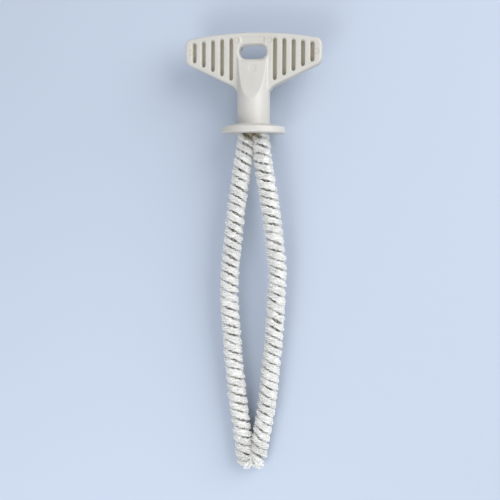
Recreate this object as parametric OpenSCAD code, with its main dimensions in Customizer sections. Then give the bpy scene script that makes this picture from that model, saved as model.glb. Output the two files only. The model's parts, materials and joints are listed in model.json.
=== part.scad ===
// Test tube brush: a twisted-wire brush bent into a long loop, its two ends set in the neck of a
// moulded T-handle whose round flange stops at the rim of the tube.
//
// The brush is drawn along Y: y = 0 is the underside of the flange, +Y runs up the handle, X runs
// across its wings and Z is normal to the loop. at_rest() then lays it down on z = 0.

/* [Handle] */
// Width across the two wings
wing_span = 64.9; // [62:0.1:68]
// Height of the handle above the underside of the flange
handle_h = 47.1; // [46:0.1:49]
// Thickness of the grip plate
plate_t = 8.4; // [7.4:0.1:9.4]
// Radius of the crowned top edge
crown_r = 170; // [140:5:240]
// Slope of the lower edge of each wing, in degrees
wing_slope = 25.2; // [23:0.1:27]
// Rounding of the plate's outer edges
edge_r = 0.9; // [0.4:0.1:1.2]

/* [Grip grooves] */
// Grooves in each wing, on each face
groove_count = 5; // [3:1:5]
// Distance between neighbouring grooves
groove_pitch = 4.4; // [4.2:0.1:4.5]
// Width of a groove at the face
groove_w = 2.1; // [1.6:0.1:2.3]
// Depth of a groove
groove_depth = 3.3; // [2:0.1:3.4]

/* [Neck and flange] */
// Width of the oval neck, across the wings
neck_w = 15.6; // [15:0.1:16.2]
// Thickness of the oval neck, through the plate
neck_t = 19.2; // [18.8:0.2:20.4]
// Diameter of the flange
flange_d = 30.4; // [28:0.1:33]
// Thickness of the flange at its rim
rim_t = 3.1; // [2.4:0.1:3.4]
// Rise of the flange from its rim to the neck
flange_rise = 1.7; // [1:0.1:2]
// Diameter of the socket that takes the brush
socket_d = 10.8; // [10.4:0.1:11.2]
// Depth of the socket
socket_depth = 16; // [15:0.5:17]

/* [Brush] */
// Diameter over the bristle tips
bristle_d = 9.9; // [8.6:0.1:10.2]
// Length of wire that holds one full turn of the twist
twist_pitch = 8.34; // [7.8:0.02:8.6]
// Angle of the section that the bristles on one side of the wire fill, in degrees
fill_angle = 120; // [100:2:128]
// Diameter of each of the two wires
wire_d = 1.1; // [0.9:0.05:1.2]

/* [Hidden] */

$fn = 48;

// Half sizes that the outlines use
wing_x = wing_span / 2;
plate_z = plate_t / 2;
neck_x = neck_w / 2;
neck_z = neck_t / 2;
flange_r = flange_d / 2;
socket_r = socket_d / 2;
bristle_r = bristle_d / 2;
wire_r = wire_d / 2;
flange_top = rim_t + flange_rise;

// Corners of the grip plate
upper_corner_r = 3.1;
lower_corner_r = 3.6;
neck_fillet_r = 5.3;
// Height at which the line of a wing's lower edge would meet the side of the neck
wing_root_y = 21.3;
// How far the foot of the plate's fillet starts inside the neck
neck_bury = 0.3;
// Segments in each rounded edge and in each corner arc
edge_steps = 2;
corner_steps = 4;
crown_steps = 6;

// The scoops cut the neck down to the plate, on both faces
scoop_foot_y = 16.1;
scoop_head_y = 38.9;
// Each scoop is hollow: its slope eases off along an arc
scoop_r = 64;
scoop_foot_slope = 23;
scoop_top_slope = 6;
scoop_steps = 6;
// Fillet between the side of the neck and the face of the plate
ridge_fillet_r = 1.2;

// Hang hole, a long hole across the plate
hang_w = 13.2;
hang_h = 7;
hang_y = 38.2;
hang_lip_r = 0.9;

// Grooves: place of the innermost one, and how far their ends keep from the plate's edges
groove_first_x = 10.4;
groove_draft = 0.25;
groove_top_gap = 2;
groove_foot_gap = 2.2;

// Recess above the hang hole, and the round marks of the mould's ejector pins
recess_size = [11.2, 3.1, 0.4];
recess_y = 43.7;
pin_mark_d = 2.4;
pin_mark_depth = 0.15;
pin_marks = [[30, 38], [7.75, 43.4]];
scoop_mark_y = 30.4;
scoop_mark_d = 3.8;

// Small rounding of the flange's rim
rim_edge_r = 0.4;

// Route of the brush's centre line: a leg on each side, and a round bend at the far end
left_leg = [
    [-3, 30], [-3, 15], [-3.1, 0], [-5.2, -16], [-7.6, -32], [-9.3, -48], [-10.9, -64], [-11.2, -80],
    [-10.1, -96], [-8.7, -112], [-6.9, -128], [-5.2, -140], [-4.1, -147.6], [-3.4, -152.6]
];
right_leg = [
    [3, 30], [3, 15], [3.2, 0], [5.2, -16], [7.9, -32], [10.1, -48], [11.9, -64], [11.5, -80],
    [10.7, -96], [9.3, -112], [7.6, -128], [5.8, -140], [4.4, -147.6], [3.6, -152.6]
];
bend_r = 3.1;
bend_y = -155.9;
// Angle between the bristles and the plane of the loop at the middle of the bend
bend_twist = 75;
// How far the ends of the wires reach into the socket
wire_seat = 13.5;
// Part of each leg, measured round the route from the middle of the bend, that the tip node takes
tip_turns = 1.5;

// Sections of the brush: twist from one to the next in degrees, sides of a wire, and the narrow
// waist where the bristles pass between the wires
section_turn = 48;
wire_sides = 4;
waist = 0.1;
shoulder = [0.62, 0.42];
// Gap left between the two legs where they press on each other
leg_gap = 0.1;
// Finest spacing of the route's points
route_steps = 12;

// ---------- outlines ----------

function arc(centre, r, from, to, steps) =
    [for (i = [0 : steps]) let (a = from + (to - from) * i / steps) centre + r * [cos(a), sin(a)]];

function oval(half_x, half_y, count) =
    [for (i = [0 : count - 1]) let (a = 360 * i / count) [half_x * cos(a), half_y * sin(a)]];

function mirrored(points) =
    [for (i = [len(points) - 1 : -1 : 0]) [-points[i].x, points[i].y]];

// Half width of the neck at a height off its middle plane
function neck_side_x(z) = neck_x * sqrt(1 - pow(z / neck_z, 2));

function wing_edge_y(x) = wing_root_y + (x - neck_x) * tan(wing_slope);

function crown_y(x) = handle_h - crown_r + sqrt(pow(crown_r, 2) - pow(x, 2));

// Centre of the front scoop's arc in a side view, and the point where its slope is a
scoop_c = [
    scoop_foot_y + scoop_r * sin(scoop_foot_slope), neck_z + scoop_r * cos(scoop_foot_slope)
];

function scoop_point(a) = scoop_c - scoop_r * [sin(a), cos(a)];

// Right half of the grip plate's outline at height z, drawn in by inset, from the neck to the top.
// The foot of the fillet follows the round neck.
function half_plate(inset, z) =
    let (
        crown_c = [0, handle_h - crown_r],
        upper_x = wing_x - upper_corner_r,
        upper_c = [upper_x, crown_c.y + sqrt(pow(crown_r - upper_corner_r, 2) - pow(upper_x, 2))],
        lower_x = wing_x - lower_corner_r,
        lower_c = [lower_x, wing_edge_y(lower_x) + lower_corner_r / cos(wing_slope)],
        fillet_x = neck_x + neck_fillet_r,
        fillet_c = [fillet_x, wing_edge_y(fillet_x) - neck_fillet_r / cos(wing_slope)],
        foot_shift = neck_x - neck_side_x(z) + neck_bury,
        crown_a = atan2(upper_c.y - crown_c.y, upper_c.x)
    )
    concat(
        [
            for (i = [0 : corner_steps])
                let (a = 180 + (wing_slope - 90) * i / corner_steps)
                fillet_c - [foot_shift * (1 - i / corner_steps), 0]
                    + (neck_fillet_r + inset) * [cos(a), sin(a)]
        ],
        arc(lower_c, lower_corner_r - inset, wing_slope - 90, 0, corner_steps),
        arc(upper_c, upper_corner_r - inset, 0, crown_a, corner_steps),
        [
            for (i = [1 : crown_steps - 1])
                let (a = crown_a + (90 - crown_a) * i / crown_steps)
                crown_c + (crown_r - inset) * [cos(a), sin(a)]
        ]
    );

function plate_outline(inset, z) =
    concat(half_plate(inset, z), [[0, handle_h - inset]], mirrored(half_plate(inset, z)));

// Stadium outline, grown by out on every side
function slot_outline(length, width, out, steps) =
    let (r = width / 2 + out, reach = (length - width) / 2)
    concat(arc([0, reach], r, 0, 180, steps), arc([0, -reach], r, 180, 360, steps));

function at_height(points, z) = [for (p = points) [p.x, p.y, z]];

// Inset and height at each step round a quarter-round edge on a face at z = face
function edge_inset(i) = edge_r * (1 - sin(90 * i / edge_steps));
function edge_height(i) = edge_r * (1 - cos(90 * i / edge_steps));

// Sections through the plate: height, and how far the outline is drawn in there
plate_sections = concat(
    [for (i = [0 : edge_steps]) [edge_height(i) - plate_z, edge_inset(i)]],
    [[0, 0]],
    [for (i = [edge_steps : -1 : 0]) [plate_z - edge_height(i), edge_inset(i)]]
);
plate_rings = [for (q = plate_sections) at_height(plate_outline(q.y, q.x), q.x)];

// Strips across the plate's face, each between a point of the right half and its mirror image
plate_top = len(half_plate(0, 0));
plate_strips = concat(
    [for (j = [0 : plate_top - 2]) [j, j + 1, 2 * plate_top - j - 1, 2 * plate_top - j]],
    [[plate_top - 1, plate_top, plate_top + 1]]
);

// ---------- route of the brush ----------

function reversed(list) = [for (i = [len(list) - 1 : -1 : 0]) list[i]];

bend_points = arc([0, bend_y], bend_r, 180, 360, 4);
route_points = concat(left_leg, bend_points, reversed(right_leg));
bend_middle = len(left_leg) + 2;

// Smooth curve through the route's points
function between(a, b, c, d, t) =
    0.5 * (2 * b + (c - a) * t + (2 * a - 5 * b + 4 * c - d) * t * t + (3 * b - a - 3 * c + d) * t * t * t);

route = [
    for (i = [1 : len(route_points) - 3])
        for (k = [0 : route_steps - 1])
            between(
                route_points[i - 1], route_points[i], route_points[i + 1], route_points[i + 2],
                k / route_steps
            )
];

// Distance along the route of each of its points
route_s = [
    for (i = 0, s = 0; i < len(route); i = i + 1, s = s + (i < len(route) ? norm(route[i] - route[i - 1]) : 0))
        s
];
x_at = [for (i = [0 : len(route) - 1]) [route_s[i], route[i].x]];
y_at = [for (i = [0 : len(route) - 1]) [route_s[i], route[i].y]];

function place(s) = [lookup(s, x_at), lookup(s, y_at)];

// Distances along the route: the middle of the bend, and where each leg leaves the flange and ends
mid_s = route_s[(bend_middle - 1) * route_steps];
function crossings(y) = [
    for (i = [1 : len(route) - 1])
        if ((route[i - 1].y - y) * (route[i].y - y) <= 0 && route[i - 1].y != y)
            route_s[i - 1] + (y - route[i - 1].y) / (route[i].y - route[i - 1].y) * (route_s[i] - route_s[i - 1])
];
entry_s = crossings(0);
end_s = crossings(wire_seat);
station_step = twist_pitch * section_turn / 360;
tip_s = [mid_s - tip_turns * twist_pitch, mid_s + tip_turns * twist_pitch];

// Stations between two distances, both ends included
function stations(from, to) =
    let (
        first = ceil((from - mid_s) / station_step + 0.35),
        last = floor((to - mid_s) / station_step - 0.35)
    )
    concat([from], [for (i = [first : last]) mid_s + i * station_step], [to]);

left_stations = stations(entry_s[0], tip_s[0]);
tip_stations = stations(tip_s[0], tip_s[1]);
right_stations = stations(tip_s[1], entry_s[1]);
left_seat = stations(end_s[0], entry_s[0]);
right_seat = stations(entry_s[1], end_s[1]);

function without_first(list) = [for (i = [1 : len(list) - 1]) list[i]];

wire_stations = concat(
    left_seat, without_first(left_stations), without_first(tip_stations),
    without_first(right_stations), without_first(right_seat)
);

// ---------- sections of the brush ----------

// Direction of the route; where a leg meets the flange it is square to the flange
function heading(s) =
    abs(s - entry_s[0]) < 0.01 ? [0, -1] :
    abs(s - entry_s[1]) < 0.01 ? [0, 1] :
    let (d = place(s + 0.3) - place(s - 0.3)) d / norm(d);

// Twist of the bristle plane out of the plane of the loop. The twist is left-handed.
function twist(s) = bend_twist - 360 * (s - mid_s) / twist_pitch;

// Room from the centre line to the middle of the loop, on the inside of the bend
function room(s) =
    let (p = place(s), inward_x = abs(heading(s).y))
    (inward_x > 0.5 ? abs(p.x) / inward_x : bend_r) - leg_gap / 2;

// A point of the section at s: along the bristles, and across them
function section_point(s, along, across) =
    let (
        t = twist(s), h = heading(s), p = place(s),
        inward = min(along * cos(t) - across * sin(t), room(s)),
        up = along * sin(t) + across * cos(t)
    )
    [p.x - h.y * inward, p.y + h.x * inward, up];

half_fill = fill_angle / 2;
bristle_section = [
    [shoulder.x, -shoulder.y], bristle_r * [cos(half_fill), -sin(half_fill)],
    [bristle_r, 0],
    bristle_r * [cos(half_fill), sin(half_fill)], shoulder, [0, waist],
    [-shoulder.x, shoulder.y], bristle_r * [-cos(half_fill), sin(half_fill)],
    [-bristle_r, 0],
    bristle_r * [-cos(half_fill), -sin(half_fill)], [-shoulder.x, -shoulder.y], [0, -waist]
];

// The section's two lobes and the waist between them
bristle_strips = [[0, 1, 2, 3, 4], [0, 4, 5, 11], [5, 6, 10, 11], [6, 7, 8, 9, 10]];

function bristle_ring(s) = [for (q = bristle_section) section_point(s, q.x, q.y)];

// side is 1 for one wire of the pair and -1 for the other
function wire_ring(s, side) = [
    for (i = [0 : wire_sides - 1])
        let (a = 360 * i / wire_sides)
        section_point(s, wire_r * cos(a), side * (wire_r + waist) + wire_r * sin(a))
];

bristle_rings_tip = [for (s = tip_stations) bristle_ring(s)];
bristle_rings_left = [for (s = left_stations) bristle_ring(s)];
bristle_rings_right = [for (s = right_stations) bristle_ring(s)];

// ---------- how it lies ----------

// It rests on the rim of the flange and on the bristles near the bend. The tilt is the steepest
// that leaves every bristle above the surface.
low_points = [
    for (ring = concat(bristle_rings_tip, bristle_rings_left, bristle_rings_right))
        for (p = ring) if (p.z < 0 && p.y < bend_y / 2) p
];
rest_tilt = min([for (p = low_points) atan((flange_r + p.z) / (rim_edge_r - p.y))]);
rest_lift = flange_r * cos(rest_tilt) - rim_edge_r * sin(rest_tilt);

function laid_y(p) = p.y * cos(rest_tilt) - p.z * sin(rest_tilt);
front_y = max([for (ring = plate_rings) for (p = ring) laid_y(p)]);
back_y = min([for (ring = bristle_rings_tip) for (p = ring) laid_y(p)]);

module at_rest() {
    translate([0, -(front_y + back_y) / 2, rest_lift])
        rotate([rest_tilt, 0, 0])
            children();
}

// ---------- shapes ----------

// Solid through a row of rings that have the same number of points. The strips that fill the
// first ring are given when its outline is too hollow for one face.
module skin(rings, strips = []) {
    n = len(rings[0]);
    last = len(rings) - 1;
    cap = len(strips) > 0 ? strips : [[for (j = [0 : n - 1]) j]];
    polyhedron(
        points = [for (ring = rings) each ring],
        faces = concat(
            cap,
            [
                for (i = [0 : last - 1])
                    for (j = [0 : n - 1])
                        let (k = (j + 1) % n)
                        each [
                            [i * n + j, (i + 1) * n + j, (i + 1) * n + k],
                            [i * n + j, (i + 1) * n + k, i * n + k]
                        ]
            ],
            [for (face = cap) [for (j = [len(face) - 1 : -1 : 0]) last * n + face[j]]]
        )
    );
}

// Turns a shape made along Z so that it runs along Y
module along_y() {
    rotate([-90, 0, 0])
        children();
}

module both_faces() {
    children();
    mirror([0, 0, 1])
        children();
}

module both_wings() {
    children();
    mirror([1, 0, 0])
        children();
}

// Concave fillet that runs up each side of the neck on the face of the plate
module ridge_fillet() {
    near_z = plate_z + ridge_fillet_r / 2;
    side_a = atan2(near_z / pow(neck_z, 2), neck_side_x(near_z) / pow(neck_x, 2));
    contact_z = plate_z + ridge_fillet_r * (1 - sin(side_a));
    centre_x = neck_side_x(contact_z) + ridge_fillet_r * cos(side_a);
    sunk_z = plate_z - 1;
    translate([0, wing_root_y, 0])
        along_y()
            mirror([0, 1, 0])
                linear_extrude(height = scoop_head_y - wing_root_y)
                    polygon(concat(
                        [[neck_x / 2, sunk_z], [centre_x, sunk_z]],
                        arc(
                            [centre_x, plate_z + ridge_fillet_r], ridge_fillet_r,
                            270, 180 + side_a, corner_steps
                        ),
                        [[neck_x / 2, contact_z]]
                    ));
}

// Side view of what the scoops leave of the neck
module scoop_wedge() {
    slope_line = [
        for (i = [0 : scoop_steps])
            scoop_point(scoop_foot_slope + (scoop_top_slope - scoop_foot_slope) * i / scoop_steps)
    ];
    half = concat(
        [[0, neck_z + 1], [scoop_foot_y, neck_z + 1]], slope_line, [[scoop_head_y, plate_z]]
    );
    rotate([90, 0, 90])
        linear_extrude(height = 4 * neck_x, center = true)
            polygon(concat(
                half,
                [for (i = [len(half) - 1 : -1 : 0]) [half[i].x, -half[i].y]]
            ));
}

module neck() {
    intersection() {
        union() {
            translate([0, rim_t / 2, 0])
                along_y()
                    linear_extrude(height = scoop_head_y)
                        polygon(oval(neck_x, neck_z, $fn));
            both_wings()
                both_faces()
                    ridge_fillet();
        }
        scoop_wedge();
    }
}

module flange() {
    along_y()
        rotate_extrude()
            polygon(concat(
                [[0, 0]],
                arc([flange_r - rim_edge_r, rim_edge_r], rim_edge_r, 270, 360, 2),
                arc([flange_r - rim_edge_r, rim_t - rim_edge_r], rim_edge_r, 0, 70, 2),
                [[neck_x, flange_top], [0, flange_top]]
            ));
}

// One blind groove with drafted walls, standing on z = 0 and open upwards
module groove(length) {
    skin([
        at_height(slot_outline(length - 2 * groove_draft, groove_w - 2 * groove_draft, 0, 4), 0),
        at_height(slot_outline(length, groove_w, 0, 4), groove_depth),
        at_height(slot_outline(length, groove_w, 0, 4), groove_depth + 1)
    ]);
}

module grooves() {
    for (i = [0 : groove_count - 1]) {
        x = groove_first_x + i * groove_pitch;
        top = crown_y(x) - groove_top_gap;
        foot = wing_edge_y(x) + groove_foot_gap;
        translate([x, (top + foot) / 2, plate_z - groove_depth])
            groove(top - foot);
    }
}

module hang_hole() {
    rotate([0, 0, 90])
        linear_extrude(height = 2 * plate_t, center = true)
            union() {
                square([hang_h, hang_w - hang_h], center = true);
                for (side = [-1, 1])
                    translate([0, side * (hang_w - hang_h) / 2])
                        circle(d = hang_h);
            }
}

// Flared mouth of the hang hole on the front face
module hang_lip() {
    rotate([0, 0, 90])
        skin([
            for (q = [[0, 0.02], [0.45, 0.15], [0.8, 0.45], [1.1, 0.9], [1.8, 1.8]])
                at_height(
                    slot_outline(hang_w, hang_h, hang_lip_r * q.y, 6), plate_z + hang_lip_r * (q.x - 1)
                )
        ]);
}

module pin_mark(d) {
    translate([0, 0, -pin_mark_depth])
        cylinder(h = 1, d = d);
}

module handle() {
    scoop_mark_slope = asin((scoop_c.x - scoop_mark_y) / scoop_r);
    color("ivory")
        at_rest()
            difference() {
                union() {
                    skin(plate_rings, plate_strips);
                    neck();
                    flange();
                }
                along_y()
                    translate([0, 0, -1])
                        cylinder(h = socket_depth + 1, r = socket_r);
                both_faces()
                    both_wings()
                        grooves();
                translate([0, hang_y, 0])
                    hang_hole();
                both_faces()
                    translate([0, hang_y, 0])
                        hang_lip();
                translate([-recess_size.x / 2, recess_y - recess_size.y / 2, plate_z - recess_size.z])
                    cube([recess_size.x, recess_size.y, 1]);
                both_wings()
                    for (p = pin_marks)
                        translate([p.x, p.y, plate_z])
                            pin_mark(pin_mark_d);
                translate([0, scoop_mark_y, scoop_point(scoop_mark_slope).y])
                    rotate([-scoop_mark_slope, 0, 0])
                        pin_mark(scoop_mark_d);
            }
}

// One wire of the twisted pair, along the given stations
module wire(side, along) {
    skin([for (s = along) wire_ring(s, side)]);
}

module wire_strand_a() {
    color("slategray")
        at_rest()
            wire(1, wire_stations);
}

module wire_strand_b() {
    color("lightslategray")
        at_rest()
            wire(-1, wire_stations);
}

// Cured adhesive that fills the socket round the ends of the wires
module adhesive_plug() {
    past_left = [left_stations[1], left_stations[2]];
    past_right = [right_stations[len(right_stations) - 3], right_stations[len(right_stations) - 2]];
    color("darkkhaki")
        at_rest()
            difference() {
                along_y()
                    cylinder(h = socket_depth, r = socket_r);
                for (side = [1, -1]) {
                    wire(side, concat(left_seat, past_left));
                    wire(side, concat(past_right, right_seat));
                }
            }
}

module bristles_left_leg() {
    color("white")
        at_rest()
            skin(bristle_rings_left, bristle_strips);
}

module bristles_tip() {
    color("whitesmoke")
        at_rest()
            skin(bristle_rings_tip, bristle_strips);
}

module bristles_right_leg() {
    color("white")
        at_rest()
            skin(bristle_rings_right, bristle_strips);
}

handle();
adhesive_plug();
wire_strand_a();
wire_strand_b();
bristles_left_leg();
bristles_tip();
bristles_right_leg();
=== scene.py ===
import json
import math

import bpy
import numpy as np
from mathutils import Matrix, Vector


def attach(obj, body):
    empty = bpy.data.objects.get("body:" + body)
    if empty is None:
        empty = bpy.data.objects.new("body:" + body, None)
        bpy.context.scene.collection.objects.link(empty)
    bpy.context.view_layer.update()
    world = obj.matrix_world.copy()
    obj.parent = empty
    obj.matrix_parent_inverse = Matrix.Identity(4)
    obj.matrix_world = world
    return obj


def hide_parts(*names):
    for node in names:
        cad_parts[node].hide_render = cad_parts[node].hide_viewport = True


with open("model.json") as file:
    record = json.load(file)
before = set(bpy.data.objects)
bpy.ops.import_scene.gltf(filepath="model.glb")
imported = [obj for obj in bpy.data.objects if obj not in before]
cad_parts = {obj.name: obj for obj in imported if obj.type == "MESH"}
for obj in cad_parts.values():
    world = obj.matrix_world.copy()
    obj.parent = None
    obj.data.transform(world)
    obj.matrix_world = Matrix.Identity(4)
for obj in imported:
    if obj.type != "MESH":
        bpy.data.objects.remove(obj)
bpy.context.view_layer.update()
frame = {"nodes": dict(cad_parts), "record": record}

bl_info = {
    "name": "Test tube brush",
    "version": (1, 0, 0),
    "blender": (4, 5, 0),
    "location": "3D View > Sidebar > Brush",
    "description": "Moulded handle, adhesive, twisted wires and bristles of a loop brush",
    "category": "Object",
}

# ---------- the brush's own directions ----------
# Y runs up the handle from the underside of the flange, X across its wings, Z off the loop.
stop = next(m for m in frame["record"]["mounts"] if m["name"] == "tube_stop")
UP_HANDLE = -np.array(stop["axis"])
ACROSS = np.array((1.0, 0.0, 0.0))
OFF_LOOP = np.cross(ACROSS, UP_HANDLE)
FLANGE_CENTRE = np.array((0.0, stop["pos_m"][1], stop["pos_m"][2]))
REST_TILT = math.atan2(UP_HANDLE[2], UP_HANDLE[1])


def to_row(x, y, z):
    """Points in the brush's directions, in metres, as points of the frame."""
    return (
        FLANGE_CENTRE
        + np.outer(x, ACROSS)
        + np.outer(y, UP_HANDLE)
        + np.outer(z, OFF_LOOP)
    )


def in_plane(x, y):
    """One point in the plane of the loop."""
    return to_row((x,), (y,), (0.0,))[0]


# ---------- route of the brush's centre line, in millimetres ----------
LEFT_LEG = [
    (-3, 30), (-3, 15), (-3.1, 0), (-5.2, -16), (-7.6, -32), (-9.3, -48), (-10.9, -64),
    (-11.2, -80), (-10.1, -96), (-8.7, -112), (-6.9, -128), (-5.2, -140), (-4.1, -147.6),
    (-3.4, -152.6),
]
RIGHT_LEG = [
    (3, 30), (3, 15), (3.2, 0), (5.2, -16), (7.9, -32), (10.1, -48), (11.9, -64), (11.5, -80),
    (10.7, -96), (9.3, -112), (7.6, -128), (5.8, -140), (4.4, -147.6), (3.6, -152.6),
]
BEND_R = 3.1
BEND_Y = -155.9
BEND_TWIST = math.radians(75)
# room left between the two legs where they come together at the middle of the loop
LEG_GAP = 0.1
MM = 0.001


def loop_route(steps=24):
    """Distances along the smooth centre line and its points, in metres, and the bend's middle."""
    angles = np.radians((180, 225, 270, 315, 360))
    bend = [(BEND_R * math.cos(a), BEND_Y + BEND_R * math.sin(a)) for a in angles]
    points = np.array(LEFT_LEG + bend + RIGHT_LEG[::-1], float)
    middle = (len(LEFT_LEG) + 1) * steps
    t = np.linspace(0, 1, steps, endpoint=False)[:, None]
    spans = []
    for i in range(1, len(points) - 2):
        a, b, c, d = points[i - 1 : i + 3]
        square = 2 * a - 5 * b + 4 * c - d
        cube = 3 * b - a - 3 * c + d
        spans.append(0.5 * (2 * b + (c - a) * t + square * t**2 + cube * t**3))
    line = np.concatenate(spans) * MM
    distance = np.concatenate(([0], np.cumsum(np.linalg.norm(np.diff(line, axis=0), axis=1))))
    return distance, line, distance[middle]


ROUTE_S, ROUTE, BEND_S = loop_route()
HALF = len(ROUTE) // 2


def left_at(y):
    """Distance along the centre line at which the left leg is at a height."""
    return float(np.interp(-y, -ROUTE[:HALF, 1], ROUTE_S[:HALF]))


def right_at(y):
    """The same for the right leg."""
    return float(np.interp(y, ROUTE[HALF:, 1], ROUTE_S[HALF:]))


LEFT_ENTRY_S = left_at(0.0)
RIGHT_ENTRY_S = right_at(0.0)
# the wires end inside the handle's socket, at this height above the flange's underside
SOCKET_DEPTH = 0.0135


def on_loop(s, inward, up, crossing=0.0):
    """Places points that are given along, across and off the centre line.

    crossing is how far a piece may reach past the middle of the loop.
    """
    near = 0.0003
    x, y = (np.interp(s, ROUTE_S, ROUTE[:, i]) for i in (0, 1))
    hx, hy = (
        np.interp(s + near, ROUTE_S, ROUTE[:, i]) - np.interp(s - near, ROUTE_S, ROUTE[:, i])
        for i in (0, 1)
    )
    length = np.hypot(hx, hy)
    hx, hy = hx / length, hy / length
    # a leg hardly reaches past the middle of the loop, nor the bend past its own centre
    steep = np.abs(hy)
    room = np.where(steep > 0.5, np.abs(x) / np.maximum(steep, 0.5), BEND_R * MM)
    room = room - LEG_GAP / 2 * MM + crossing
    inward = np.minimum(inward, room)
    return to_row(x - hy * inward, y + hx * inward, up)


def twist(s, pitch):
    """Angle of the bristles off the plane of the loop, for a left-handed twist."""
    return BEND_TWIST - 2 * math.pi * (s - BEND_S) / pitch


# ---------- small tools ----------
def deselect():
    if bpy.context.mode != "OBJECT":
        bpy.ops.object.mode_set(mode="OBJECT")
    bpy.ops.object.select_all(action="DESELECT")


def pick(obj):
    deselect()
    obj.select_set(True)
    bpy.context.view_layer.objects.active = obj


def apply_modifiers(obj):
    pick(obj)
    for modifier in list(obj.modifiers):
        bpy.ops.object.modifier_apply(modifier=modifier.name)


def coordinates(obj):
    co = np.empty(len(obj.data.vertices) * 3)
    obj.data.vertices.foreach_get("co", co)
    return co.reshape(-1, 3)


def set_coordinates(obj, co):
    obj.data.vertices.foreach_set("co", np.ascontiguousarray(co, dtype=np.float32).ravel())
    obj.data.update()


def place_on_loop(obj, crossing=0.0):
    """Bends a piece that was made straight along X round the loop."""
    set_coordinates(obj, on_loop(*coordinates(obj).T, crossing=crossing))


def finish_piece(obj, name, material, slot, *nodes):
    obj.name = name
    obj.data.name = name
    obj.data.materials.clear()
    obj.data.materials.append(material)
    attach(obj, "root")
    if nodes:
        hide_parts(*nodes)


def shade_smooth(obj, angle=None):
    pick(obj)
    if angle is None:
        bpy.ops.object.shade_smooth()
    else:
        bpy.ops.object.shade_smooth_by_angle(angle=angle)


# ---------- materials ----------
# the grip grooves: middle of the first one, from one to the next, half their width, the rows'
# inner and outer side, and the lines that their upper and lower ends lie on
GROOVE_FIRST = 0.0104
GROOVE_PITCH = 0.0044
GROOVE_HALF = 0.00135
GROOVE_ROWS = (0.0085, 0.0305)
GROOVE_CROWN, GROOVE_CURVE = 0.0463, 2.94
GROOVE_FOOT, GROOVE_SLOPE = 0.0185, 0.47
# heights off the middle of the plate over which the floor ends, the wall begins and it ends
FLOOR_ENDS = (0.0010, 0.0016)
WALL_BEGINS = (0.0012, 0.0018)
WALL_ENDS = (0.0034, 0.0039)
# the upper wall of the hang hole: where it begins and ends, half its width, and how far it
# reaches off the middle of the plate
HOLE_TOP = (0.0402, 0.0412)
HOLE_TOP_END = 0.0423
HOLE_HALF = 0.0065
HOLE_DEPTH = (0.0030, 0.0036)
# middles of the mould's pin marks, across and up, and the radius and soft edge of their rings
PIN_MARKS = ((0.030, 0.038), (0.00775, 0.0434))
PIN_RADIUS = 0.00115
PIN_EDGE = (0.00008, 0.00032)
# only the front of the plate lies above this
FRONT_FACE = 0.0035
# the flange's flecks end here
FLANGE_TOP = (0.004, 0.0055)
# painted shade in the deep places between the bristles, growing towards the flange, whose shadow
# falls there
DEEP_SHADE_RUN = (-0.045, -0.02)
DEEP_SHADE_SHARE = (0.45, 0.9)
# painted shadow of the flange: how far down the bristles it reaches, how unevenly, and how wide it
# is
FLANGE_SHADOW_REACH = (-0.0045, -0.0008)
FLANGE_SHADOW_UNEVEN = 0.0016
FLANGE_SHADOW_WIDTH = (0.003, 0.005)

# tints that are laid over the colours of the settings: painted shade and painted light, besides the
# flange's flecks
GROOVE_FLOOR_SHADE_COLOUR = (0.43, 0.39, 0.30)
WALL_LIGHT_COLOUR = (0.84, 0.82, 0.77)
FLECK_COLOUR = (0.70, 0.58, 0.36)
RING_SHADE_COLOUR = (0.40, 0.37, 0.31)
ROOT_SHADE_COLOUR = (0.66, 0.66, 0.63)
DEEP_SHADE_COLOUR = (0.27, 0.26, 0.21)
FLANGE_SHADOW_COLOUR = (0.36, 0.29, 0.15)


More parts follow.
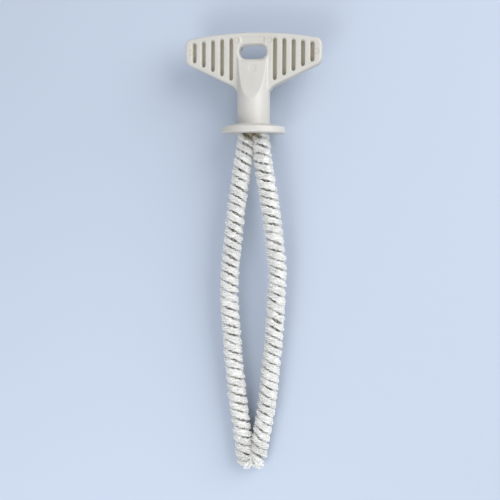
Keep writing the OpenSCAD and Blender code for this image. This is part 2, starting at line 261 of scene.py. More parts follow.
class Nodes:
    """Adds and links the nodes of one material."""

    def __init__(self, name):
        self.material = bpy.data.materials.new(name)
        self.material.use_nodes = True
        self.tree = self.material.node_tree
        self.shader = self.tree.nodes["Principled BSDF"]
        self.place = self.add("ShaderNodeTexCoord").outputs["Object"]

    def add(self, kind, **settings):
        node = self.tree.nodes.new(kind)
        for key, value in settings.items():
            setattr(node, key, value)
        return node

    def link(self, source, target):
        self.tree.links.new(source, target)

    def noise(self, scale, detail):
        node = self.add("ShaderNodeTexNoise")
        node.inputs["Scale"].default_value = scale
        node.inputs["Detail"].default_value = detail
        self.link(self.place, node.inputs["Vector"])
        return node.outputs["Fac"]

    def ramp(self, value, low, high, to_low=0.0, to_high=1.0):
        node = self.add("ShaderNodeMapRange", interpolation_type="SMOOTHSTEP")
        sockets = ("From Min", "From Max", "To Min", "To Max")
        for socket, number in zip(sockets, (low, high, to_low, to_high)):
            node.inputs[socket].default_value = number
        self.link(value, node.inputs["Value"])
        return node.outputs["Result"]

    def math(self, operation, a, b):
        node = self.add("ShaderNodeMath", operation=operation)
        for socket, value in zip(node.inputs, (a, b)):
            if isinstance(value, (int, float)):
                socket.default_value = value
            else:
                self.link(value, socket)
        return node.outputs[0]

    def away(self, value):
        """How far a value is from 0."""
        return self.math("ABSOLUTE", value, 0)

    def both(self, a, b):
        """1 where both masks are 1."""
        return self.math("MULTIPLY", a, b)

    def mix(self, factor, a, b):
        node = self.add("ShaderNodeMix", data_type="RGBA")
        self.link(factor, node.inputs["Factor"])
        for socket, value in ((node.inputs[6], a), (node.inputs[7], b)):
            if isinstance(value, tuple):
                socket.default_value = (*value, 1.0)
            else:
                self.link(value, socket)
        return node.outputs[2]

    def brush_axes(self):
        """Object coordinates turned into the brush's own directions, from the flange's centre."""
        node = self.add("ShaderNodeMapping", vector_type="TEXTURE")
        node.inputs["Location"].default_value = FLANGE_CENTRE
        node.inputs["Rotation"].default_value = (REST_TILT, 0, 0)
        self.link(self.place, node.inputs["Vector"])
        split = self.add("ShaderNodeSeparateXYZ")
        self.link(node.outputs["Vector"], split.inputs["Vector"])
        return split.outputs

    def bump(self, height, distance, strength):
        node = self.add("ShaderNodeBump")
        node.inputs["Strength"].default_value = strength
        node.inputs["Distance"].default_value = distance
        self.link(height, node.inputs["Height"])
        self.link(node.outputs["Normal"], self.shader.inputs["Normal"])


def groove_shade_and_light_masks(m, axes):
    """1 on the floors of the grip grooves for painted shade, 1 on their walls for painted light,
    and 0 elsewhere on the plate.
    """
    depth = m.away(axes["Z"])
    across = m.away(axes["X"])
    step = m.math("SUBTRACT", across, GROOVE_FIRST - GROOVE_PITCH / 2)
    step = m.math("FLOORED_MODULO", step, GROOVE_PITCH)
    off_middle = m.away(m.math("SUBTRACT", step, GROOVE_PITCH / 2))
    in_groove = m.math("LESS_THAN", off_middle, GROOVE_HALF)
    inner, outer = GROOVE_ROWS
    in_rows = m.both(m.math("GREATER_THAN", across, inner), m.math("LESS_THAN", across, outer))
    curve = m.math("MULTIPLY", m.math("MULTIPLY", across, across), GROOVE_CURVE)
    below_crown = m.math("LESS_THAN", axes["Y"], m.math("SUBTRACT", GROOVE_CROWN, curve))
    foot = m.math("ADD", m.math("MULTIPLY", across, GROOVE_SLOPE), GROOVE_FOOT)
    in_length = m.both(below_crown, m.math("GREATER_THAN", axes["Y"], foot))
    groove = m.both(in_groove, m.both(in_rows, in_length))
    floor = m.both(m.ramp(depth, *FLOOR_ENDS, 1.0, 0.0), groove)
    below_lip = m.ramp(depth, *WALL_ENDS, 1.0, 0.0)
    painted_wall_light = m.both(m.both(m.ramp(depth, *WALL_BEGINS), below_lip), groove)
    return floor, painted_wall_light


def hole_top_light_mask(m, axes):
    """1 on the upper wall of the hang hole, where light is painted."""
    inside = m.ramp(m.away(axes["Z"]), *HOLE_DEPTH, 1.0, 0.0)
    high = m.both(m.ramp(axes["Y"], *HOLE_TOP), m.math("LESS_THAN", axes["Y"], HOLE_TOP_END))
    top = m.both(high, m.math("LESS_THAN", m.away(axes["X"]), HOLE_HALF))
    return m.both(top, inside)


def pin_rings(m, axes):
    """1 on the thin rings that the mould's pins leave on the front of the plate."""
    across = m.away(axes["X"])
    rings = None
    for x, y in PIN_MARKS:
        off_x = m.math("POWER", m.math("SUBTRACT", across, x), 2)
        off_y = m.math("POWER", m.math("SUBTRACT", axes["Y"], y), 2)
        distance = m.math("SQRT", m.math("ADD", off_x, off_y), 0)
        off_ring = m.away(m.math("SUBTRACT", distance, PIN_RADIUS))
        ring = m.ramp(off_ring, *PIN_EDGE, 1.0, 0.0)
        rings = ring if rings is None else m.math("MAXIMUM", rings, ring)
    return m.both(rings, m.math("GREATER_THAN", axes["Z"], FRONT_FACE))


def handle_plastic(colour):
    """Warm white moulded plastic with fine flecks.

    It has painted shade on the floors of the grooves and on the pin rings, and painted light on the
    groove walls and the upper wall of the hang hole.
    """
    m = Nodes("moulded_plastic")
    axes = m.brush_axes()
    cloud = m.ramp(m.noise(90, 3), 0.35, 0.65)
    dull = tuple(c * f for c, f in zip(colour, (0.965, 0.96, 0.945)))
    body = m.mix(cloud, tuple(colour), dull)
    floor, painted_wall_light = groove_shade_and_light_masks(m, axes)
    # painted shade on the floors of the grip grooves
    body = m.mix(m.both(floor, 0.8), body, GROOVE_FLOOR_SHADE_COLOUR)
    # painted light on the groove walls and on the upper wall of the hang hole
    painted_wall_light = m.math("MAXIMUM", painted_wall_light, hole_top_light_mask(m, axes))
    body = m.mix(m.both(painted_wall_light, 0.8), body, WALL_LIGHT_COLOUR)
    fleck = m.ramp(m.noise(420, 2), 0.66, 0.74)
    near_flange = m.ramp(axes["Y"], *FLANGE_TOP, 1.0, 0.0)
    body = m.mix(m.both(m.both(fleck, near_flange), 0.5), body, FLECK_COLOUR)
    rings = pin_rings(m, axes)
    # painted shade along the rings of the pin marks, on top of their dent in the bump below
    body = m.mix(m.both(rings, 0.55), body, RING_SHADE_COLOUR)
    m.link(body, m.shader.inputs["Base Color"])
    m.link(m.ramp(m.noise(260, 3), 0.3, 0.7, 0.34, 0.46), m.shader.inputs["Roughness"])
    m.shader.inputs["IOR"].default_value = 1.49
    m.shader.inputs["Subsurface Weight"].default_value = 0.12
    m.shader.inputs["Subsurface Radius"].default_value = (0.9, 0.8, 0.6)
    m.shader.inputs["Subsurface Scale"].default_value = 0.001
    grain = m.math("ADD", m.noise(1400, 3), m.math("MULTIPLY", rings, -9.0))
    m.bump(grain, 0.00002, 0.5)
    return m.material


def bristle_nylon(colour):
    """White nylon, greyed down by the wires with painted shade, and with a warm painted shadow
    under the flange.

    The attribute of painted shade runs from near 0 at the cut ends, where it also varies at random,
    to 1 at the roots.
    """
    m = Nodes("bristle_nylon")
    axes = m.brush_axes()
    strand = m.ramp(m.noise(2600, 2), 0.3, 0.7)
    grey = tuple(c * f for c, f in zip(colour, (0.95, 0.95, 0.94)))
    body = m.mix(strand, grey, tuple(colour))
    shade_and_tone = m.add("ShaderNodeAttribute", attribute_name="shade_and_tone").outputs["Fac"]
    # painted shade: greyer towards the roots, down by the wires
    body = m.mix(m.both(shade_and_tone, 0.3), body, ROOT_SHADE_COLOUR)
    # painted shade deep between the bristles, stronger towards the flange, whose shadow falls there
    share = m.ramp(axes["Y"], *DEEP_SHADE_RUN, *DEEP_SHADE_SHARE)
    body = m.mix(m.both(m.ramp(shade_and_tone, 0.70, 0.88), share), body, DEEP_SHADE_COLOUR)
    # a warm painted shadow just below the flange, with an uneven lower edge
    flange_shadow_edge = m.ramp(m.noise(500, 3), 0.3, 0.7, -FLANGE_SHADOW_UNEVEN, FLANGE_SHADOW_UNEVEN)
    reach = m.math("ADD", axes["Y"], flange_shadow_edge)
    inner = m.ramp(m.away(axes["X"]), *FLANGE_SHADOW_WIDTH, 1.0, 0.0)
    flange_shadow = m.both(m.ramp(reach, *FLANGE_SHADOW_REACH), inner)
    body = m.mix(m.both(flange_shadow, 0.7), body, FLANGE_SHADOW_COLOUR)
    m.link(body, m.shader.inputs["Base Color"])
    m.shader.inputs["Roughness"].default_value = 0.55
    m.shader.inputs["Specular IOR Level"].default_value = 0.3
    m.shader.inputs["Subsurface Weight"].default_value = 0.15
    m.shader.inputs["Subsurface Radius"].default_value = (1.0, 1.0, 0.95)
    m.shader.inputs["Subsurface Scale"].default_value = 0.0006
    m.bump(m.noise(3200, 2), 0.00006, 0.6)
    return m.material


def wire_steel(colour):
    """Dull drawn steel with fine marks along the wire."""
    m = Nodes("wire_steel")
    worn = m.ramp(m.noise(1500, 3), 0.35, 0.65)
    dark = tuple(c * 0.7 for c in colour)
    m.link(m.mix(worn, dark, tuple(colour)), m.shader.inputs["Base Color"])
    m.shader.inputs["Metallic"].default_value = 0.3
    m.link(m.ramp(m.noise(900, 2), 0.3, 0.7, 0.38, 0.58), m.shader.inputs["Roughness"])
    m.bump(m.noise(4200, 2), 0.00003, 0.5)
    return m.material


def cured_adhesive(colour):
    """Amber adhesive with small bubbles and cloudy patches."""
    m = Nodes("cured_adhesive")
    cloud = m.ramp(m.noise(380, 3), 0.35, 0.7)
    dark = tuple(c * 0.6 for c in colour)
    m.link(m.mix(cloud, tuple(colour), dark), m.shader.inputs["Base Color"])
    m.shader.inputs["Roughness"].default_value = 0.28
    m.shader.inputs["IOR"].default_value = 1.55
    m.shader.inputs["Coat Weight"].default_value = 0.3
    m.bump(m.noise(900, 3), 0.0002, 0.7)
    return m.material


def floor_paint(colour):
    """Matt paint, a touch darker in wide soft patches."""
    m = Nodes("floor_paint")
    soft = m.ramp(m.noise(3.0, 2), 0.3, 0.7)
    darker = tuple(c * 0.985 for c in colour)
    m.link(m.mix(soft, tuple(colour), darker), m.shader.inputs["Base Color"])
    m.shader.inputs["Roughness"].default_value = 0.8
    m.shader.inputs["Specular IOR Level"].default_value = 0.1
    return m.material


# ---------- settings ----------
class HandleSettings(bpy.types.PropertyGroup):
    colour: bpy.props.FloatVectorProperty(
        name="Colour", description="Colour of the moulded plastic",
        default=(0.515, 0.503, 0.475), subtype="COLOR", min=0, max=1,
    )
    grain: bpy.props.FloatProperty(
        name="Grain", description="Size of the cells that the moulding is rounded with",
        default=0.00025, min=0.0002, max=0.001, unit="LENGTH",
    )
    rounding: bpy.props.IntProperty(
        name="Rounding", description="Passes that soften the moulded edges",
        default=4, min=0, max=20,
    )


class BristleSettings(bpy.types.PropertyGroup):
    colour: bpy.props.FloatVectorProperty(
        name="Colour", description="Colour of the bristles",
        default=(0.96, 0.96, 0.95), subtype="COLOR", min=0, max=1,
    )
    radius: bpy.props.FloatProperty(
        name="Radius", description="Distance from the centre of the wires to the cut ends",
        default=0.00485, min=0.003, max=0.006, unit="LENGTH",
    )
    core_radius: bpy.props.FloatProperty(
        name="Packed radius", description="Radius inside which the bristles are packed tight",
        default=0.0038, min=0.002, max=0.005, unit="LENGTH",
    )
    pitch: bpy.props.FloatProperty(
        name="Pitch", description="Length of one full turn of the twist",
        default=0.00834, min=0.007, max=0.009, unit="LENGTH",
    )
    fill: bpy.props.FloatProperty(
        name="Fill", description="Angle that the bristles of one side spread over",
        default=math.radians(140), min=1.5, max=2.8, subtype="ANGLE",
    )
    thickness: bpy.props.FloatProperty(
        name="Thickness", description="Diameter of one bristle",
        default=0.00022, min=0.0001, max=0.0004, unit="LENGTH",
    )
    per_millimetre: bpy.props.IntProperty(
        name="Bristles per millimetre", description="Bristle ends on each millimetre of wire",
        default=440, min=10, max=600,
    )
    seed: bpy.props.IntProperty(name="Seed", description="Changes how the bristles lie", default=11)


class WireSettings(bpy.types.PropertyGroup):
    colour: bpy.props.FloatVectorProperty(
        name="Colour", description="Colour of the steel",
        default=(0.66, 0.65, 0.58), subtype="COLOR", min=0, max=1,
    )
    thickness: bpy.props.FloatProperty(
        name="Thickness", description="Diameter of each of the two wires",
        default=0.0011, min=0.0008, max=0.0014, unit="LENGTH",
    )
    adhesive_colour: bpy.props.FloatVectorProperty(
        name="Adhesive", description="Colour of the adhesive in the socket",
        default=(0.42, 0.29, 0.12), subtype="COLOR", min=0, max=1,
    )


class StageSettings(bpy.types.PropertyGroup):
    floor_colour: bpy.props.FloatVectorProperty(
        name="Floor", description="Colour of the floor",
        default=(0.44, 0.50, 0.60), subtype="COLOR", min=0, max=1,
    )
    distance: bpy.props.FloatProperty(
        name="Camera distance", description="From the camera to the middle of the view",
        default=0.45093, min=0.1, max=3, unit="LENGTH",
    )
    turn: bpy.props.FloatProperty(
        name="Camera turn", description="How far the camera swings towards the right wing",
        default=math.radians(8.51), subtype="ANGLE",
    )
    lean: bpy.props.FloatProperty(
        name="Camera lean", description="How far the camera swings towards the handle's end",
        default=math.radians(-3.67), subtype="ANGLE",
    )
    roll: bpy.props.FloatProperty(
        name="Camera roll", description="Turn of the camera about its own line of sight",
        default=math.radians(0.31), subtype="ANGLE",
    )


# ---------- handle ----------
HANDLE_WELD = 0.000001
# share of the rounded moulding's faces that are kept
HANDLE_FACES_KEPT = 0.5


class BRUSH_OT_handle(bpy.types.Operator):
    """Round the edges of the moulded handle and give it its plastic"""

    bl_idname = "brush.handle"
    bl_label = "Moulded handle"

    def execute(self, context):
        settings = context.scene.brush_handle
        node = frame["nodes"]["handle"]
        moulding = bpy.data.objects.new("handle_moulding", node.data.copy())
        context.scene.collection.objects.link(moulding)
        pick(moulding)
        bpy.ops.object.mode_set(mode="EDIT")
        bpy.ops.mesh.select_all(action="SELECT")
        bpy.ops.mesh.remove_doubles(threshold=HANDLE_WELD)
        bpy.ops.object.mode_set(mode="OBJECT")
        cells = moulding.modifiers.new("cells", "REMESH")
        cells.mode = "VOXEL"
        cells.voxel_size = settings.grain
        cells.adaptivity = 0
        soften = moulding.modifiers.new("soften", "SMOOTH")
        soften.factor = 0.5
        soften.iterations = settings.rounding
        thin = moulding.modifiers.new("thin", "DECIMATE")
        thin.ratio = HANDLE_FACES_KEPT
        apply_modifiers(moulding)
        shade_smooth(moulding)
        finish_piece(
            moulding, "handle_moulding", handle_plastic(settings.colour), "handle_plastic", "handle"
        )
        return {"FINISHED"}


# ---------- twisted pieces ----------
TUBE_WELD = 0.0000005
WIRE_SIDES = 10
WIRE_STEPS = 18
# half of what lies between the two wires
WIRE_GAP = 0.0001


def screwed_tube(outline, start, end, pitch, steps_a_turn):
    """Twists a closed outline, given across and off the wire, along a straight line on X."""
    deselect()
    bpy.ops.mesh.primitive_circle_add(vertices=len(outline), radius=0.001, location=(0, 0, 0))
    tube = bpy.context.object
    first = twist(start, pitch)
    c, s = math.cos(first), math.sin(first)
    points = np.array(outline)
    co = np.zeros((len(points), 3))
    co[:, 0] = start
    co[:, 1] = points[:, 0] * c - points[:, 1] * s
    co[:, 2] = points[:, 0] * s + points[:, 1] * c
    set_coordinates(tube, co)
    turns = (end - start) / pitch
    rounds = max(1, math.ceil(turns))
    screw = tube.modifiers.new("twist", "SCREW")
    screw.axis = "X"
    screw.angle = -2 * math.pi * turns / rounds
    screw.screw_offset = (end - start) / rounds
    screw.iterations = rounds
    screw.steps = screw.render_steps = max(3, round(steps_a_turn * turns / rounds))
    screw.use_merge_vertices = False
    apply_modifiers(tube)
    bpy.ops.object.mode_set(mode="EDIT")
    bpy.ops.mesh.select_all(action="SELECT")
    bpy.ops.mesh.remove_doubles(threshold=TUBE_WELD)
    bpy.ops.mesh.select_all(action="DESELECT")
    bpy.ops.mesh.select_non_manifold()
    bpy.ops.mesh.fill_holes(sides=0)
    bpy.ops.mesh.select_all(action="SELECT")
    bpy.ops.mesh.normals_make_consistent(inside=False)
    bpy.ops.object.mode_set(mode="OBJECT")
    return tube


class BRUSH_OT_wires(bpy.types.Operator):
    """Twist the two wires round each other along the loop"""

    bl_idname = "brush.wires"
    bl_label = "Twisted wires"

    def execute(self, context):
        settings = context.scene.brush_wires
        pitch = context.scene.brush_bristles.pitch
        radius = settings.thickness / 2
        centre = radius + WIRE_GAP
        steel = wire_steel(settings.colour)
        start, end = left_at(SOCKET_DEPTH), right_at(SOCKET_DEPTH)
        for name, side in (("wire_strand_a", 1), ("wire_strand_b", -1)):
            angles = [2 * math.pi * i / WIRE_SIDES for i in range(WIRE_SIDES)]
            outline = [(radius * math.cos(a), side * centre + radius * math.sin(a)) for a in angles]
            strand = screwed_tube(outline, start, end, pitch, WIRE_STEPS)
            place_on_loop(strand)
            shade_smooth(strand, math.radians(60))
            finish_piece(strand, name.replace("wire", "twisted"), steel, "wire_steel", name)
        return {"FINISHED"}


class BRUSH_OT_adhesive(bpy.types.Operator):
    """Give the adhesive in the socket its amber finish"""

    bl_idname = "brush.adhesive"
    bl_label = "Adhesive"

    def execute(self, context):
        plug = frame["nodes"]["adhesive_plug"]
        plug.data.materials.clear()
        plug.data.materials.append(cured_adhesive(context.scene.brush_wires.adhesive_colour))
        return {"FINISHED"}


# ---------- bristles ----------
# half of one lobe's outline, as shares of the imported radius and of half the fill
LOBE_HALF = (
    (0.16, 0.40), (0.30, 0.58), (0.55, 0.83), (0.80, 0.97), (0.94, 0.99),
    (1, 0.8), (1, 0.4), (1, 0),
)
PACK_STEPS = 36
# share of the fill that the pack takes, and share of its radius that is left round the bend
PACK_FILL = 0.9
BEND_PACK = 0.92
# how far the pack and the cut ends of one leg may reach past the middle of the loop
PACK_CROSSING = 0.0009
END_CROSSING = 0.0022
# half of the bend's stretch, in turns of the twist
BEND_TURNS = 1.5
# the bristles spread less over this length below the flange, and by this share
ENTRY_RUN = 0.012
ENTRY_NARROWING = 0.2
# shortening at the edges of a lobe
EDGE_ROUNDING = 0.14
# length each side of the bend over which the bristles gather in tufts, and how strongly they
# gather and fan out there
BEND_RUN = 0.008
GATHER = 0.5
SPLAY = 0.25
# stray bristles near the flange
STRAY_RUN = 0.022
# a tuft's length along the wire and its share of the spread, and how close its ends are drawn
TUFT_SIZE = (0.0009, 0.4)
TUFT_PULL = 0.55
# the tufts repeat after this many cells, and the other side starts further down their table
TUFT_REPEAT, OTHER_SIDE, TUFT_ROWS = 61, 29, 97
# how much the cut ends vary everywhere, and how much more where they are stray
ALONG_NOISE, ALONG_STRAY = 0.00008, 0.0005
ANGLE_NOISE, ANGLE_STRAY = 0.075, 0.16
SHORT_NOISE, SHORT_STRAY = 0.015, 0.09
TUFT_SHORTNESS = 0.08
# tone of the cut ends: the usual one, how it varies, and the most
END_TONE = (0.1, 0.12)
END_TONE_MOST = 0.35
# distance of the bristles' roots from the centre of the wires
ROOT_RADIUS = 0.0011


def packed_outline(radius, fill):
    """Two lobes of tightly packed bristles that fan out from the crevice between the wires."""
    half = [(share * radius, angle * fill / 2) for share, angle in LOBE_HALF]
    polar = [(r, -a) for r, a in half[:-1]] + half[::-1]
    lobe = [(r * math.cos(a), r * math.sin(a)) for r, a in polar]
    return lobe + [(-x, -y) for x, y in lobe]


class Lay:
    """How the bristles of the two sides lie along the wire, none quite like the next."""

    # what varies, the length from one value to the next, and how much it varies
    UNEVEN = (
        ("spread", 0.0021, 0.12),
        ("turn", 0.0016, 0.13),
        ("short", 0.0009, 0.04),
        ("lean", 0.0013, 0.00025),
    )

    def __init__(self, rng, settings):
        self.settings = settings
        self.tables = {}
        for key, spacing, amount in self.UNEVEN:
            at = np.arange(LEFT_ENTRY_S - 2 * spacing, RIGHT_ENTRY_S + 2 * spacing, spacing)
            self.tables[key] = at, rng.normal(0, amount, (2, len(at)))

    def uneven(self, key, s, side):
        at, values = self.tables[key]
        return np.where(side, np.interp(s, at, values[1]), np.interp(s, at, values[0]))

    def ends(self, s, side, spread, reach):
        """Distance along the wire, radius and angle at a share of the spread and reach."""
        pitch = self.settings.pitch
        middle = twist(s, pitch) + math.pi * side
        half = self.settings.fill / 2 * (1 + reach * self.uneven("spread", s, side))
        entry = np.minimum(s - LEFT_ENTRY_S, RIGHT_ENTRY_S - s)
        half *= 1 - ENTRY_NARROWING * np.clip(1.4 - entry / ENTRY_RUN, 0, 1)
        angle = middle + spread * half + reach * self.uneven("turn", s, side)
        radius = self.settings.radius * reach * (1 - np.abs(self.uneven("short", s, side)))
        radius *= 1 - EDGE_ROUNDING * reach * np.clip(np.abs(spread), 0, 1) ** 4
        # round the bend the bristles that point outwards stay together in tufts
        near_bend = np.clip(1.3 - np.abs(s - BEND_S) / BEND_RUN, 0, 1)
        bunch = near_bend * np.clip(-np.cos(angle), 0, 1)
        gather = GATHER * bunch * ((middle % (2 * math.pi)) - math.pi) * pitch / (2 * math.pi)
        splay = SPLAY * bunch * (s - BEND_S)
        return s + reach * (self.uneven("lean", s, side) + gather + splay), radius, angle

    def ruffle(self, pack):
        """Gives the packed bristles of a straight stretch the same uneven lay."""
        co = coordinates(pack)
        s = co[:, 0]
        off = np.arctan2(co[:, 2], co[:, 1]) - twist(s, self.settings.pitch)
        side = (np.cos(off) < 0).astype(int)
        off = (off + math.pi * side + math.pi) % (2 * math.pi) - math.pi
        reach = np.hypot(co[:, 1], co[:, 2]) / self.settings.radius
        along, radius, angle = self.ends(s, side, off * 2 / self.settings.fill, reach)
        ends = (s <= s.min() + 1e-7) | (s >= s.max() - 1e-7)
        co[:, 0] = np.where(ends, s, along)
        co[:, 1] = radius * np.cos(angle)
        co[:, 2] = radius * np.sin(angle)
        set_coordinates(pack, co)
        # painted shade that grows from the cut ends towards the wires
        set_shade_and_tone(pack.data, np.clip((0.85 - reach) / 0.65, 0, 1))


def set_shade_and_tone(mesh, values):
    """Stores how deep each point lies, for the painted shade that darkens the nylon there."""
    tones = mesh.attributes.new("shade_and_tone", "FLOAT", "POINT")
    tones.data.foreach_set("value", np.asarray(values).astype(np.float32))


def filament_ends(rng, settings, lay, start, end):
    """Roots, cut ends and tones of the bristles between two distances along the wire."""
    count = int(settings.per_millimetre * (end - start) * 1000)
    s = rng.uniform(start, end, count)
    side = rng.integers(0, 2, count)
    spread = rng.uniform(-1, 1, count)
    loose = np.zeros(count)
    for edge in (LEFT_ENTRY_S, RIGHT_ENTRY_S):
        loose = np.maximum(loose, np.clip(1 - np.abs(s - edge) / STRAY_RUN, 0, 1))
    # the cut ends stand in small tufts, some of them shorter
    size = np.array(TUFT_SIZE)[:, None]
    cell = np.stack((s, spread)) / size
    middle = np.floor(cell)
    row, column = (middle.astype(int) % TUFT_REPEAT) + side * np.array((OTHER_SIDE, 0))[:, None]
    tufts = rng.normal(0, 1, (3, TUFT_ROWS, TUFT_REPEAT))[:, row, column]
    pull = TUFT_PULL * (middle + 0.5 + 0.15 * tufts[:2] - cell) * size
    along, radius, angle = lay.ends(s, side, spread + pull[1], np.ones(count))
    shift = rng.normal(0, ALONG_NOISE, count)
    along += pull[0] + shift + rng.normal(0, ALONG_STRAY, count) * loose
    angle += rng.normal(0, ANGLE_NOISE, count) + rng.normal(0, ANGLE_STRAY, count) * loose
    radius *= 1 - TUFT_SHORTNESS * np.clip(np.abs(tufts[2]), 0, 2)
    shorter = np.abs(rng.normal(0, SHORT_NOISE, count))
    radius *= 1 - shorter - np.abs(rng.normal(0, SHORT_STRAY, count)) * loose
    along = np.clip(along, LEFT_ENTRY_S, RIGHT_ENTRY_S)
    root = angle - 0.6 * spread * settings.fill / 2
    roots = np.stack((s, ROOT_RADIUS * np.cos(root), ROOT_RADIUS * np.sin(root)), 1)
    tips = np.stack((along, radius * np.cos(angle), radius * np.sin(angle)), 1)
    return roots, tips, np.clip(rng.normal(*END_TONE, count), 0, END_TONE_MOST)


def filament_shape(thickness):
    """One bristle, a unit long: a thin three-sided sliver, full at its cut end."""
    deselect()
    bpy.ops.mesh.primitive_cone_add(
        vertices=3, radius1=0, radius2=thickness * 0.5, depth=1,
        location=(0, 0, 0.5), end_fill_type="NGON",
    )
    rod = bpy.context.object
    pick(rod)
    bpy.ops.object.transform_apply(location=True, rotation=True, scale=True)
    co = coordinates(rod)
    faces = [tuple(p.vertices) for p in rod.data.polygons]
    bpy.data.objects.remove(rod)
    return co, faces


class BRUSH_OT_bristles(bpy.types.Operator):
    """Pack the bristles between the wires and lay out their cut ends"""

    bl_idname = "brush.bristles"
    bl_label = "Bristles"

    def execute(self, context):
        settings = context.scene.brush_bristles
        nylon = bristle_nylon(settings.colour)
        tip_start = BEND_S - BEND_TURNS * settings.pitch
        tip_end = BEND_S + BEND_TURNS * settings.pitch
        left_middle = (LEFT_ENTRY_S + tip_start) / 2
        right_middle = (RIGHT_ENTRY_S + tip_end) / 2
        stretches = (
            ("left_upper", LEFT_ENTRY_S, left_middle, "bristles_left_leg"),
            ("left_lower", left_middle, tip_start, "bristles_left_leg"),
            ("bend", tip_start, tip_end, "bristles_tip"),
            ("right_lower", tip_end, right_middle, "bristles_right_leg"),
            ("right_upper", right_middle, RIGHT_ENTRY_S, "bristles_right_leg"),
        )
        rod, rod_faces = filament_shape(settings.thickness)
        lay = Lay(np.random.default_rng(settings.seed), settings)
        for number, (name, start, end, node) in enumerate(stretches):
            core_radius = settings.core_radius * (BEND_PACK if name == "bend" else 1)
            outline = packed_outline(core_radius, settings.fill * PACK_FILL)
            pack = screwed_tube(outline, start, end, settings.pitch, PACK_STEPS)
            lay.ruffle(pack)
            place_on_loop(pack, PACK_CROSSING)
            shade_smooth(pack, math.radians(40))
            finish_piece(pack, "packed_" + name, nylon, "bristle_nylon", node)
            rng = np.random.default_rng(settings.seed + 1 + number)
            roots, tips, shade_and_tone = filament_ends(rng, settings, lay, start, end)
            filaments = self.add_filaments("filaments_" + name, roots, tips, shade_and_tone, rod, rod_faces)
            finish_piece(filaments, filaments.name, nylon, "bristle_nylon", node)
        return {"FINISHED"}

    def add_filaments(self, name, roots, tips, shade_and_tone, rod, rod_faces):
        """One mesh with a sliver from each root to its cut end."""
        a = on_loop(*roots.T)
        b = on_loop(*tips.T, crossing=END_CROSSING)
        along = b - a
        direction = along / np.linalg.norm(along, axis=1)[:, None]
        # a fixed direction settles how each sliver is turned about its own length
        side = np.cross(direction, np.array((0.31, 0.83, 0.46)))
        side /= np.linalg.norm(side, axis=1)[:, None]
        other = np.cross(direction, side)
        co = (
            a[:, None]
            + along[:, None] * rod[None, :, 2, None]
            + side[:, None] * rod[None, :, 0, None]
            + other[:, None] * rod[None, :, 1, None]
        ).reshape(-1, 3)
        count = len(rod)
        faces = [
            tuple(v + i * count for v in face) for i in range(len(roots)) for face in rod_faces
        ]
        mesh = bpy.data.meshes.new(name)
        mesh.from_pydata(co.tolist(), [], faces)
        # painted shade from 1 at the root to the cut end's own random tone
        set_shade_and_tone(mesh, (1 - rod[None, :, 2] * (1 - shade_and_tone[:, None])).ravel())
        filaments = bpy.data.objects.new(name, mesh)
        bpy.context.scene.collection.objects.link(filaments)
        return filaments


# ---------- stage ----------
SKY_COLOUR = (0.93, 0.96, 1.0, 1.0)
SKY_STRENGTH = 0.70
# the point of the loop's plane that the camera looks at
VIEW_CENTRE = (-0.00133, -0.05563)


def area_lamp(name, target, offset, size, power, colour):
    """Adds a soft square lamp that looks at a point from an offset."""
    deselect()
    place = target + np.array(offset)
    bpy.ops.object.light_add(type="AREA", location=place)
    lamp = bpy.context.object
    lamp.name = name
    lamp.data.shape = "SQUARE"
    lamp.data.size = size
    lamp.data.energy = power
    lamp.data.color = colour
    lamp.rotation_euler = (Vector(target) - Vector(place)).to_track_quat("-Z", "Y").to_euler()


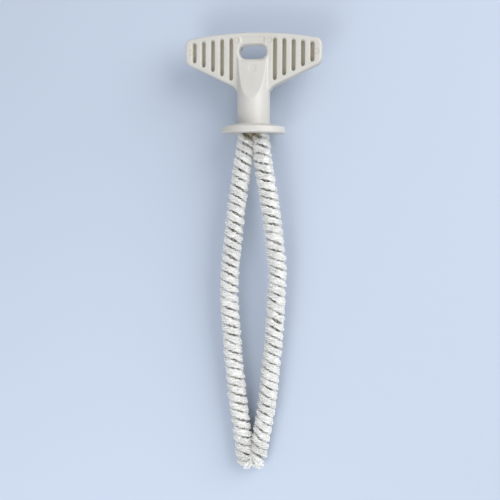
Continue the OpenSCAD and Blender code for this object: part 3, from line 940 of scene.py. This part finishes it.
class BRUSH_OT_stage(bpy.types.Operator):
    """Lay out the floor, the soft lamps and the camera"""

    bl_idname = "brush.stage"
    bl_label = "Stage"

    def execute(self, context):
        settings = context.scene.brush_stage
        scene = context.scene
        deselect()
        bpy.ops.mesh.primitive_plane_add(size=6, location=(0, 0, 0))
        floor = bpy.context.object
        floor.name = "floor"
        floor.data.materials.append(floor_paint(settings.floor_colour))
        world = bpy.data.worlds.new("studio")
        world.use_nodes = True
        background = world.node_tree.nodes["Background"]
        background.inputs["Color"].default_value = SKY_COLOUR
        background.inputs["Strength"].default_value = SKY_STRENGTH
        scene.world = world
        upper_legs = in_plane(0.0, -0.03)
        area_lamp("key", upper_legs, (0.64, 0.32, 0.50), 0.8, 7.4, (1.0, 0.985, 0.96))
        lower_legs = in_plane(0.0, -0.13)
        area_lamp("low", lower_legs, (-0.12, -0.20, 0.36), 0.3, 1.0, (1.0, 1.0, 1.0))
        self.add_camera(scene, settings)
        scene.view_settings.view_transform = "Standard"
        return {"FINISHED"}

    def add_camera(self, scene, settings):
        centre = Vector(in_plane(*VIEW_CENTRE))
        brush = Matrix(np.column_stack((ACROSS, UP_HANDLE, OFF_LOOP)).tolist()).to_4x4()
        turn = (
            brush
            @ Matrix.Rotation(settings.turn, 4, "Y")
            @ Matrix.Rotation(settings.lean, 4, "X")
            @ Matrix.Rotation(settings.roll, 4, "Z")
        )
        bpy.ops.object.camera_add()
        camera = bpy.context.object
        place = centre + turn.col[2].xyz * settings.distance
        camera.matrix_world = Matrix.Translation(place) @ turn
        camera.data.sensor_width = 36
        camera.data.lens = 67.5
        camera.data.clip_start = 0.01
        scene.camera = camera


class BRUSH_PT_panel(bpy.types.Panel):
    """Lists the pieces of the brush"""

    bl_idname = "BRUSH_PT_panel"
    bl_label = "Test tube brush"
    bl_space_type = "VIEW_3D"
    bl_region_type = "UI"
    bl_category = "Brush"

    def draw(self, context):
        for operator, group in (
            (BRUSH_OT_handle, context.scene.brush_handle),
            (BRUSH_OT_wires, context.scene.brush_wires),
            (BRUSH_OT_adhesive, None),
            (BRUSH_OT_bristles, context.scene.brush_bristles),
            (BRUSH_OT_stage, context.scene.brush_stage),
        ):
            box = self.layout.box()
            box.operator(operator.bl_idname)
            if group:
                for key in group.bl_rna.properties.keys():
                    if key not in ("rna_type", "name"):
                        box.prop(group, key)


CLASSES = (
    HandleSettings, BristleSettings, WireSettings, StageSettings,
    BRUSH_OT_handle, BRUSH_OT_wires, BRUSH_OT_adhesive, BRUSH_OT_bristles, BRUSH_OT_stage,
    BRUSH_PT_panel,
)


def register():
    for cls in CLASSES:
        bpy.utils.register_class(cls)
    bpy.types.Scene.brush_handle = bpy.props.PointerProperty(type=HandleSettings)
    bpy.types.Scene.brush_bristles = bpy.props.PointerProperty(type=BristleSettings)
    bpy.types.Scene.brush_wires = bpy.props.PointerProperty(type=WireSettings)
    bpy.types.Scene.brush_stage = bpy.props.PointerProperty(type=StageSettings)


def unregister():
    for name in ("brush_handle", "brush_bristles", "brush_wires", "brush_stage"):
        delattr(bpy.types.Scene, name)
    for cls in reversed(CLASSES):
        bpy.utils.unregister_class(cls)


def main():
    register()
    bpy.ops.brush.handle()
    bpy.ops.brush.wires()
    bpy.ops.brush.adhesive()
    bpy.ops.brush.bristles()
    bpy.ops.brush.stage()


if __name__ == "__main__":
    main()
